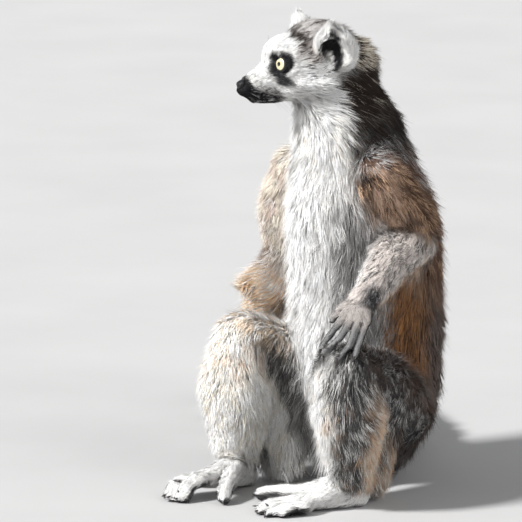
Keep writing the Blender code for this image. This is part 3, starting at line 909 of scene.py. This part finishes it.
def sculpt_mouth(points, normals, on_head):
    """Presses in the line of the mouth and the groove under the nose."""
    forward, left, up = in_head(points)
    line = -20.5 - 0.30 * (58 - forward) + 0.02 * left**2
    mouth = bell(up - line, 0.8) * ramp(forward, 27, 32) * ramp(forward, 62, 57)
    groove = bell(left, 0.6) * ramp(forward, 55, 58) * ramp(up, line, line + 1)
    depth = MOUTH_DEPTH * mouth + GROOVE_DEPTH * groove
    return points - normals * (depth * on_head * MM)[:, None]


# ---- the whole skin

CHART_GAP = 1.5 * MM
ROW_SPARE = 1.04  # how much wider the unwrap's rows are than a square without any waste


def box_unwrap(points, triangles, owners, normals):
    """Flat places for every corner: each node is seen from six sides, and the views packed."""
    facing = normals[triangles].sum(axis=1)
    axis = np.abs(facing).argmax(axis=1)
    ahead = facing[np.arange(len(axis)), axis] > 0
    chart = owners[triangles[:, 0]] * 6 + axis * 2 + ahead
    corners = points[triangles]
    flat = np.empty((len(triangles), 3, 2))
    for number in range(3):
        here = axis == number
        flat[here] = corners[here][..., [(number + 1) % 3, (number + 2) % 3]]
    flat[~ahead, :, 0] *= -1
    boxes = []
    for name in np.unique(chart):
        spots = flat[chart == name].reshape(-1, 2)
        boxes.append((name, spots.min(axis=0), np.ptp(spots, axis=0) + CHART_GAP))
    boxes.sort(key=lambda box: -box[2][1])
    row_width = ROW_SPARE * sqrt(sum(size[0] * size[1] for _, _, size in boxes))
    across, height, row_height = 0.0, 0.0, 0.0
    for name, low, size in boxes:
        if across + size[0] > row_width:
            across, height, row_height = 0.0, height + row_height, 0.0
        flat[chart == name] += np.array([across, height]) - low
        across += size[0]
        row_height = max(row_height, size[1])
    return (flat + CHART_GAP / 2) / max(row_width + CHART_GAP, height + row_height)


class Skin:
    """The skin's mesh, with everything that the coat takes from it at each point."""

    def __init__(self):
        form = fused_flesh()
        thin_out(form)
        refine_face(form)
        points, self.triangles, edges = mesh_arrays(form.data)
        bpy.data.objects.remove(form)
        neighbours = Neighbours(len(points), edges)
        points = neighbours.relax(points, 26)
        self.owners = nearest_nodes(points)
        normals = unit(neighbours.blur(point_normals(points, self.triangles), 2))
        plan = plan_coat(points, normals, self.owners, neighbours)
        self.sizes, self.ways, self.marks = plan
        depth = np.minimum(self.sizes[:, 0] * MM, 0.3 * thickness(points, normals, self.triangles))
        depth = neighbours.blur(depth, 10) * ramp(eye_clearance(points), 0, SOCKET_REACH)
        to_nose = lengths(points - NOSE) - NOSE_RADIUS
        depth = depth * ramp(to_nose, 0, 5 * MM)
        points = points - unit(neighbours.blur(normals, 8)) * depth[:, None]
        on_head = (self.owners == FLESH.index("head")).astype(float)
        points = sculpt_lids(sculpt_mouth(points, normals, on_head))
        self.points = points
        self.normals = point_normals(points, self.triangles)
        uneven = 1 + 0.35 * lattice_noise(points, 13, 20)
        self.depth = np.maximum(depth, 0.7 * self.sizes[:, 0] * MM) * uneven
        self.flat = box_unwrap(points, self.triangles, self.owners, self.normals)
        self.tree = surface_tree(points, self.triangles.tolist())
        self.object = mesh_object("skin", points, self.triangles.tolist())
        set_flat(self.object.data, self.flat)
        base, speck, share = np.split(self.marks, [3, 6], axis=1)
        set_colour(self.object.data, mix(base, speck, share[:, 0] * 0.8))


# ---- coat

ROOT_SINK = 0.3 * MM
FLOOR_GAP = 0.2 * MM  # nothing reaches lower than this
TUFTS_PER_LOCK = 20
LOCK_HEIGHT = 8 * MM  # over the skin, where the distances between locks are taken
LOCK_SPREAD = 1.3  # makes up for the averaging of a tuft's own number and its lock's
LOCK_LEAN = 0.17  # how differently the locks catch the light
LENGTH_SPREAD, LIFT_SPREAD, BEND_SPREAD = 0.22, 0.3, 0.16
MIDDLE_SHARE = 0.45  # of a tuft's length lies before its middle
BRIGHTEST, BRIGHTEST_TIP = 0.92, 0.93

# A tuft's points are its root, a ring of three and its tip; these are their triangles, and
# their places on the unwrap.
TUFT_FACES = np.array([[0, 1, 2], [0, 2, 3], [0, 3, 1], [2, 1, 4], [3, 2, 4], [1, 3, 4]])
TUFT_FLAT = np.array([[0, -0.5], [-0.5, 0], [0, 0.1], [0.5, 0], [0, 0.5]]) * 0.003

# Each piece of the coat: the part it covers, its number of tufts and its slot. The last number
# is the half of the body it keeps to, in front of (-1) or behind (1) the middle.
COAT_PIECES = {
    "coat_head": ("head", 31000, "coat_white", 0),
    "coat_ears": ("ear", 9000, "coat_white", 0),
    "coat_neck": ("neck", 15000, "coat_grey", 0),
    "coat_chest": ("trunk", 32000, "coat_grey", -1),
    "coat_back": ("trunk", 28000, "coat_grey", 1),
    "coat_upper_arms": ("upper_arm", 14000, "coat_brown", 0),
    "coat_forearms": ("forearm", 18000, "coat_grey", 0),
    "coat_hands": ("hand", 6000, "hand_grey", 0),
    "coat_thighs": ("thigh", 24000, "leg_grey", 0),
    "coat_lower_legs": ("lower_leg", 30000, "leg_grey", 0),
    "coat_feet": ("foot", 12000, "coat_white", 0),
    "coat_tail": ("tail", 30000, "tail_black", 0),
}


class Tufts:
    """Tufts rooted at random on some triangles of the skin."""

    def __init__(self, skin, faces, weights, count, seed):
        self.skin = skin
        self.count = count
        self.draw = draw = np.random.default_rng(seed)
        edge = np.cumsum(weights)
        spots = (np.arange(count) + draw.random(count)) * edge[-1] / count
        faces = faces[np.minimum(np.searchsorted(edge, spots), len(faces) - 1)]
        self.corners = skin.triangles[faces]
        u, v = draw.random((2, count))
        over = u + v > 1
        u[over], v[over] = 1 - u[over], 1 - v[over]
        self.shares = np.stack([1 - u - v, u, v], axis=1)[..., None]
        self.roots = self.take(skin.points)
        self.normals = unit(self.take(skin.normals))
        self.flat = (skin.flat[faces] * self.shares).sum(axis=1)
        self.sizes = self.take(skin.sizes)
        self.leader = self.lock_up()
        self.loose = (draw.random(count) < self.sizes[:, 5]) * draw.random(count)

    def take(self, values):
        """Rows of the skin's points at the roots."""
        return (values[self.corners] * self.shares).sum(axis=1)

    def lock_up(self):
        """The nearest of a few leading tufts, with which each tuft shares its traits."""
        leaders = self.draw.permutation(self.count)[: max(1, self.count // TUFTS_PER_LOCK)]
        places = self.roots + self.normals * LOCK_HEIGHT
        tree = point_tree(places[leaders])
        return leaders[[tree.find(place)[1] for place in places.tolist()]]

    def shared(self, spread):
        """Random numbers round 0 that are partly the same all over a lock."""
        values = self.draw.normal(size=self.count)
        return spread * (0.5 * values + 0.5 * values[self.leader] * LOCK_SPREAD)

    def snap(self, places, heights):
        """Places moved to a height over the nearest skin, and the hair's way there."""
        found = [self.skin.tree.find_nearest(place)[:3] for place in places.tolist()]
        spots, normals, faces = (np.array(values) for values in zip(*found))
        ways = self.skin.ways[self.skin.triangles[faces]].mean(axis=1)
        return spots + normals * heights[:, None], unit(ways)


def lay_tufts(tufts):
    """The middle and tip of every tuft, from its length, lift and clumping."""
    draw, count, normals = tufts.draw, tufts.count, tufts.normals
    _, length, _, lift, clump, raggedness = tufts.sizes.T
    depth = tufts.take(tufts.skin.depth[:, None])[:, 0]
    standing = ramp(lift, 45, 75)
    length = length * MM * np.exp(tufts.shared(LENGTH_SPREAD))
    turn = tufts.shared(1.0) * (0.2 + 0.35 * raggedness)
    ways = unit(tufts.take(tufts.skin.ways))
    across = np.cross(normals, ways)
    ways = turned(ways, across, turn)
    lift = np.radians(lift) * np.exp(tufts.shared(LIFT_SPREAD))
    rise = np.minimum(depth * (0.35 + 0.3 * draw.random(count)), length * np.sin(lift) * 0.5)
    ahead = tufts.roots + ways * (length * MIDDLE_SHARE)[:, None]
    middle, middle_ways = tufts.snap(ahead, rise)
    middle = mix(middle, ahead + normals * rise[:, None], standing)
    onward = unit(ways + middle_ways + across * tufts.shared(BEND_SPREAD)[:, None])
    height = depth * (0.45 + 0.75 * draw.random(count) ** 1.2)
    height = height + tufts.loose * 0.2 * (length + depth)
    height = height + 0.5 * standing * draw.random(count) * length
    ahead = middle + onward * (length * (1 - MIDDLE_SHARE))[:, None]
    tips, _ = tufts.snap(ahead, height)
    tips = mix(tips, ahead + normals * (0.5 * height)[:, None], standing)
    clump = np.clip(clump * (0.5 + draw.random(count)), 0, 0.85) * (tufts.loose == 0)
    middle = mix(middle, middle + (middle[tufts.leader] - middle) * 0.25, clump)
    gap = tips[tufts.leader] - tips
    near_enough = lengths(gap) < length * 0.8
    return middle, tips + gap * (clump * near_enough)[:, None]


def tuft_colours(tufts):
    """The colour of each tuft, and that of its tip."""
    base, speck, share = np.split(tufts.take(tufts.skin.marks), [3, 6], axis=1)
    chance = 0.5 * tufts.draw.random(tufts.count)
    chance = chance + 0.5 * tufts.draw.random(tufts.count)[tufts.leader]
    share = np.clip(share[:, 0], 0, 1)
    colour = mix(base, speck, ramp(share - chance, -0.06, 0.06))
    spread = 0.18 * (1 - 0.6 * colour.mean(axis=1))  # white hair varies least
    colour = colour * np.exp(spread * tufts.shared(1.0))[:, None]
    return np.clip(colour, 0, BRIGHTEST), np.clip(colour * 1.18 + 0.002, 0, BRIGHTEST_TIP)


def coat_mesh(name, tufts):
    """Joins all tufts to one mesh: each is a closed sliver with a ring of three points."""
    middle, tips = lay_tufts(tufts)
    colour, tip_colour = tuft_colours(tufts)
    roots = tufts.roots - tufts.normals * ROOT_SINK
    along = unit(tips - roots)
    across = unit(np.cross(along, tufts.normals) + 1e-9)
    outward = np.cross(across, along)
    half = tufts.sizes[:, 2] * MM * 0.5 * (0.75 + 0.5 * tufts.draw.random(tufts.count))
    half = (half * (1 - 0.55 * tufts.loose))[:, None]
    roll = tufts.draw.normal(size=tufts.count) * 0.5
    wide = turned(across, outward, roll)
    high = turned(outward, -across, roll)
    ring = [middle + wide * half, middle + high * half * 0.8, middle - wide * half]
    points = np.stack([roots, *ring, tips], axis=1).reshape(-1, 3)
    points[:, 2] = np.maximum(points[:, 2], FLOOR_GAP)
    faces = (np.arange(tufts.count)[:, None, None] * 5 + TUFT_FACES).reshape(-1, 3)
    piece = mesh_object(name, points, faces.tolist())
    # Each tuft's root is darkened to 0.8 as painted shade deep in the coat; the paler tip is the
    # hair's own colour.
    shades = np.stack([colour * 0.8, colour, colour, colour, tip_colour], axis=1)
    set_colour(piece.data, shades.reshape(-1, 3))
    set_flat(piece.data, (tufts.flat[:, None] + TUFT_FLAT)[:, TUFT_FACES])
    set_normals(piece.data, tufts, wide, high, along)
    return piece


def set_normals(mesh, tufts, wide, high, along):
    """Lets the tufts catch the light together, as a soft coat, with a little roundness each."""
    lean = LOCK_LEAN * tufts.draw.normal(size=(tufts.count, 3))[tufts.leader]
    lean = unit(tufts.normals + lean)
    ring = [unit(lean + wide * 0.55), unit(lean + high * 0.5), unit(lean - wide * 0.55)]
    normals = np.stack([lean, *ring, unit(lean + along * 0.35)], axis=1)
    mesh.normals_split_custom_set_from_vertices(normals.reshape(-1, 3).tolist())


def piece_weights(skin, part, half):
    """The triangles that a piece of the coat covers, and how many tufts each should have."""
    first = skin.triangles[:, 0]
    covered = np.array([part_of(name) == part for name in FLESH])[skin.owners[first]]
    middle = skin.points[skin.triangles].mean(axis=1)
    if half:
        covered &= (middle[:, 1] - TRUNK[1]) * half > 0
    area = lengths(triangle_vectors(skin.points, skin.triangles))
    tuft_area = skin.sizes[first, 1] * skin.sizes[first, 2]
    weight = area * tuft_area**-0.6 * (eye_clearance(middle) > 0.5 * MM)
    faces = np.flatnonzero(covered & (weight > 0))
    return faces, weight[faces]


def grow_coat(skin, material):
    for number, (name, (part, count, slot, half)) in enumerate(COAT_PIECES.items()):
        tufts = Tufts(skin, *piece_weights(skin, part, half), count, SEED + number)
        finish_piece(coat_mesh(name, tufts), material, slot)


# ---- materials


def with_values(node, **values):
    """The shader node, with values set on its sockets."""
    for socket, value in values.items():
        node.inputs[socket.replace("_", " ")].default_value = value
    return node


def grained_material(name, scale, low, high, colour=None, relief=None, **values):
    """A material whose colour, its own or the points', a noise takes between two factors.

    Relief is the scale, depth and strength of its bumps, and the values are the shader's.
    """
    material = bpy.data.materials.new(name)
    material.use_nodes = True
    nodes, links = material.node_tree.nodes, material.node_tree.links
    shader = with_values(nodes["Principled BSDF"], **values)
    if colour:
        tone = nodes.new("ShaderNodeRGB")
        tone.outputs[0].default_value = colour
    else:
        tone = nodes.new("ShaderNodeAttribute")
        tone.attribute_name = "colour"
    place = nodes.new("ShaderNodeTexCoord").outputs["Object"]
    noise = with_values(nodes.new("ShaderNodeTexNoise"), Scale=scale, Detail=3)
    spread = nodes.new("ShaderNodeMapRange")
    with_values(spread, From_Min=0.3, From_Max=0.7, To_Min=low, To_Max=high)
    scaled = nodes.new("ShaderNodeVectorMath")
    scaled.operation = "SCALE"
    links.new(place, noise.inputs["Vector"])
    links.new(noise.outputs["Fac"], spread.inputs["Value"])
    links.new(tone.outputs["Color"], scaled.inputs[0])
    links.new(spread.outputs["Result"], scaled.inputs["Scale"])
    links.new(scaled.outputs["Vector"], shader.inputs["Base Color"])
    if relief:
        noise = with_values(nodes.new("ShaderNodeTexNoise"), Scale=relief[0], Detail=4)
        bumps = nodes.new("ShaderNodeBump")
        with_values(bumps, Distance=relief[1], Strength=relief[2])
        links.new(place, noise.inputs["Vector"])
        links.new(noise.outputs["Fac"], bumps.inputs["Height"])
        links.new(bumps.outputs["Normal"], shader.inputs["Normal"])
    return material


def fur_material():
    return grained_material("fur", 900, 0.84, 1.14, Roughness=0.62, Specular_IOR_Level=0.1)


def skin_material():
    relief = (1300, 0.5 * MM, 0.6)
    gloss = {"Roughness": 0.68, "Specular_IOR_Level": 0.3}
    return grained_material("skin", 1400, 0.7, 1.15, relief=relief, **gloss)


def eye_material():
    gloss = {"Roughness": 0.25, "Coat_Weight": 1.0, "Coat_Roughness": 0.03}
    return grained_material("eye", 1500, 0.8, 1.15, **gloss)


def nose_material():
    black = (0.009, 0.009, 0.010, 1)
    relief = (2600, 0.3 * MM, 0.8)
    return grained_material("nose", 2200, 0.6, 1.7, black, relief, Roughness=0.45)


def horn_material():
    return grained_material("horn", 1200, 0.6, 1.6, (0.035, 0.030, 0.028, 1), Roughness=0.35)


def floor_material():
    return grained_material("floor", 6, 0.97, 1.03, (0.56, 0.555, 0.55, 1), Roughness=0.8)


# ---- eyes and nose

EYE_ROWS, EYE_TURNS = 56, 96
IRIS_ANGLE = radians(52)  # from the gaze to the dark rim of the iris
PUPIL_ANGLE = radians(15)
IRIS_SINK = 0.7 * MM  # the iris lies flatter than the ball
AMBER = np.array([0.78, 0.72, 0.50])
AMBER_DARK = np.array([0.62, 0.50, 0.24])
NOSE_FLATS = ((HEAD_FORWARD, 0.5), (unit(HEAD_UP + 0.5 * HEAD_FORWARD), 0.45))


def ball(middle, pole, side_way, reach):
    """Points and faces of a ball, and the angles of its points from its pole and round it.

    Reach gives the radius for an angle from the pole.
    """
    rows, turns = EYE_ROWS, EYE_TURNS
    angles = np.linspace(0, pi, rows + 1)[1:-1]
    spins = np.linspace(0, 2 * pi, turns, endpoint=False)
    angle, spin = (grid.ravel() for grid in np.meshgrid(angles, spins, indexing="ij"))
    angle = np.concatenate([[0], angle, [pi]])
    spin = np.concatenate([[0], spin, [0]])
    sideways = turned(side_way, np.cross(pole, side_way), spin)
    points = middle + turned(pole, sideways, angle) * reach(angle)[:, None]
    faces = []
    for step in range(turns):
        after = (step + 1) % turns
        last = 1 + (rows - 2) * turns
        faces += [(0, 1 + step, 1 + after), (len(points) - 1, last + after, last + step)]
        for here in range(1, last, turns):
            faces.append((here + step, here + turns + step, here + turns + after, here + after))
    return points, faces, angle, spin


def eye_colours(angle, spin):
    """Amber with fine spokes, darker round the pupil, and a black pupil and rim."""
    spokes = 0.5 + 0.5 * np.sin(spin * 31 + 2.5 * np.sin(spin * 7))
    iris = mix(AMBER[None], AMBER_DARK[None], 0.35 * spokes)
    from_pupil = np.degrees(angle - PUPIL_ANGLE)
    iris = mix(iris, AMBER_DARK, 0.6 * ramp(from_pupil, 9, 2))
    colour = mix(iris, BLACK * 0.6, ramp(np.degrees(angle - IRIS_ANGLE), -14, -3))
    return mix(colour, BLACK * 0.2, ramp(from_pupil, 1.5, 0))


def make_eye(side, material):
    """An eyeball, a little flatter over the iris; the angle from the gaze sets its colours."""
    gaze = GAZES[side]
    points, faces, angle, spin = ball(
        EYE_CENTRES[side],
        gaze,
        unit(np.cross(gaze, HEAD_UP)),
        lambda angle: EYE_RADIUS - 0.2 * MM - IRIS_SINK * ramp(angle, IRIS_ANGLE, 0),
    )
    piece = mesh_object("eye_" + side + "_look", points, faces)
    set_colour(piece.data, eye_colours(angle, spin))
    finish_piece(piece, material, "eye_yellow")
    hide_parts("eye_" + side)


def make_nose(material):
    """The bare pad of the nose, with its two nostrils and the groove between them."""
    piece = linked("nose_pad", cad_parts["nose"].data.copy())
    fuse(piece, 0.3 * MM)
    points, triangles, edges = mesh_arrays(piece.data)
    points = Neighbours(len(points), edges).relax(points, 20)
    for way, rest in NOSE_FLATS:
        beyond = np.maximum((points - NOSE) @ way - rest * NOSE_RADIUS, 0)
        points = points - way * (0.65 * beyond)[:, None]
    normals = point_normals(points, triangles)
    offset = (points - NOSE) / MM
    left, up = offset @ HEAD_LEFT, offset @ HEAD_UP
    dent = 0.45 * bell(left, 0.4) * ramp(up, 1.2, -0.4)
    for sign in SIDES.values():
        bend = left * sign - 2.3 - 0.35 * (up + 0.3)
        dent += 1.7 * bell(bend, 0.75) * bell(up + 0.3, 1.1)
    dent = dent * ramp(normals @ HEAD_FORWARD, -0.1, 0.4)
    points = points - normals * (dent * MM)[:, None]
    piece.data.vertices.foreach_set("co", points.astype(np.float32).ravel())
    piece.data.shade_smooth()
    finish_piece(piece, material, "nose_black")
    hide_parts("nose")


# ---- nails and whiskers

# Roots of whiskers on the muzzle, brow and cheek: forward, left and up from the head's centre.
WHISKER_ROOTS = (
    (47, 8.5, -17), (44, 10, -15), (50, 7.5, -14), (46, 9.5, -19.5), (42, 10.5, -19), (40, 11, -16),
    (33, 11, 17), (31, 13, 17), (24, 27, -16), (22, 27, -18),
)
WHISKER_LENGTH, BROW_LENGTH = 30 * MM, 20 * MM
WHISKER_RADIUS = 0.16 * MM
DIGIT_WIDTH = 6 * MM
NAIL_LENGTH = 6.2 * MM
NAIL_RADIUS = 1.25 * MM


def tapered(points, radii, sides):
    """Points and faces of a closed rod along a line, with a radius at each of its points."""
    along = unit(np.gradient(points, axis=0))
    across = unit(np.cross(along, along[0] + np.array([0.31, 0.17, 0.53])))
    outward = np.cross(along, across)
    spins = np.linspace(0, 2 * pi, sides, endpoint=False)
    rings = [
        middle + radius * turned(one, other, spins)
        for middle, radius, one, other in zip(points, radii, across, outward)
    ]
    last = (len(points) - 1) * sides
    faces = []
    for here in range(0, last, sides):
        for step in range(sides):
            after = (step + 1) % sides
            faces.append((here + step, here + after, here + sides + after, here + sides + step))
    faces += [tuple(range(sides))[::-1], tuple(range(last, last + sides))]
    return np.concatenate(rings), faces


def make_whiskers(skin, material):
    draw = np.random.default_rng(SEED)
    steps = np.linspace(0, 1, 9)[:, None]
    radii = WHISKER_RADIUS * (1 - 0.85 * steps[:, 0])
    parts = []
    for forward, left, up in WHISKER_ROOTS:
        for sign in SIDES.values():
            spot = HEAD_FORWARD * forward + HEAD_LEFT * left * sign + HEAD_UP * up
            root, normal = skin.tree.find_nearest(Vector(HEAD_CENTRE + spot * MM))[:2]
            root, normal = np.array(root), np.array(normal)
            length = (WHISKER_LENGTH if up < 0 else BROW_LENGTH) * (0.8 + 0.4 * draw.random())
            way = normal + HEAD_LEFT * sign * 0.7 - HEAD_FORWARD * 0.3
            way = unit(way + draw.normal(size=3) * 0.12)
            sag = -0.25 * (HEAD_FORWARD + UP) * length
            line = root - normal * 0.4 * MM + way * length * steps + sag * steps**2
            parts.append(tapered(line, radii, 5))
    finish_piece(mesh_object("whiskers", *joined(parts)), material, "nose_black")


def digit_tips(points, joint, count):
    """The tips of the digits: the places farther from the joint than all round them."""
    reach = lengths(points - joint)
    tips = []
    for index in np.argsort(-reach):
        gaps = lengths(points - points[index])
        peak = reach[index] >= reach[gaps < DIGIT_WIDTH].max()
        if peak and all(lengths(points[index] - tip) > DIGIT_WIDTH for tip in tips):
            tips.append(points[index])
        if len(tips) == count:
            break
    return tips


def nail(points, tip, top):
    """The nail on the top of a digit, bent down over its tip."""
    close = points[lengths(points - tip) < 9 * MM]
    along = unit(tip - close.mean(axis=0))
    top = unit(top - along * (top @ along))
    root = tip - along * 4.5 * MM + top * MM
    steps = np.linspace(0, 1, 7)[:, None]
    line = root + along * NAIL_LENGTH * steps + top * (1 - 2.2 * steps**2) * MM
    radii = NAIL_RADIUS * (1 - steps[:, 0] ** 2 * 0.85)
    line[:, 2] = np.maximum(line[:, 2], radii + FLOOR_GAP)
    return tapered(line, radii, 8)


def make_nails(material):
    parts = []
    for kind, joints in (("hand", WRISTS), ("foot", ANKLES)):
        for side in SIDES:
            points = node_points(kind + "_" + side)
            for tip in digit_tips(points, joints[side], 5):
                top = UP if kind == "foot" else unit(tip - KNEES[side])
                parts.append(nail(points, tip, top))
    finish_piece(mesh_object("nails", *joined(parts)), material, "nose_black")


# ---- light, floor, camera

SENSOR_WIDTH = 36
FLOOR_HALF = 30


def look_along(obj, spot, back, up):
    """Puts an object that faces its own -Z at a spot, with its back and top as given."""
    back = unit(back)
    right = unit(np.cross(up, back))
    turn = Matrix(np.stack([right, np.cross(back, right), back], axis=1).tolist())
    obj.matrix_world = Matrix.Translation(Vector(spot)) @ turn.to_4x4()


def add_camera():
    camera = linked("camera", bpy.data.cameras.new("camera"))
    camera.data.sensor_width = SENSOR_WIDTH
    camera.data.lens = SENSOR_WIDTH * VIEW_DISTANCE / VIEW_WIDTH
    look_along(camera, VIEW_TARGET + VIEW_BACK * VIEW_DISTANCE, VIEW_BACK, VIEW_UP)
    bpy.context.scene.camera = camera


def add_light(name, way, strength, softness):
    """An even light from far away, with shadows as soft as its width in degrees."""
    light = bpy.data.lights.new(name, "SUN")
    light.energy = strength
    light.angle = radians(softness)
    look_along(linked(name, light), unit(way), way, UP)


def light_studio():
    add_light("key", -0.8 * VIEW_RIGHT + 0.62 * VIEW_UP + 0.62 * VIEW_BACK, 5.2, 10)
    add_light("fill", 0.9 * VIEW_RIGHT + 0.5 * VIEW_UP + 0.9 * VIEW_BACK, 0.9, 40)
    world = bpy.data.worlds.new("studio")
    world.use_nodes = True
    background = world.node_tree.nodes["Background"]
    with_values(background, Color=(0.80, 0.82, 0.85, 1), Strength=0.36)
    bpy.context.scene.world = world


def add_floor():
    corners = np.array([(-1, -1, 0), (1, -1, 0), (1, 1, 0), (-1, 1, 0)]) * FLOOR_HALF
    floor = mesh_object("floor", corners, [(0, 1, 2, 3)])
    floor.data.materials.append(floor_material())


# ---- put together


def build():
    skin = Skin()
    finish_piece(skin.object, skin_material(), "coat_grey")
    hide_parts(*FLESH)
    grow_coat(skin, fur_material())
    eye_look = eye_material()
    for side in SIDES:
        make_eye(side, eye_look)
    make_nose(nose_material())
    horn = horn_material()
    make_whiskers(skin, horn)
    make_nails(horn)
    add_floor()
    add_camera()
    light_studio()
    bpy.context.scene.view_settings.view_transform = "Standard"


build()
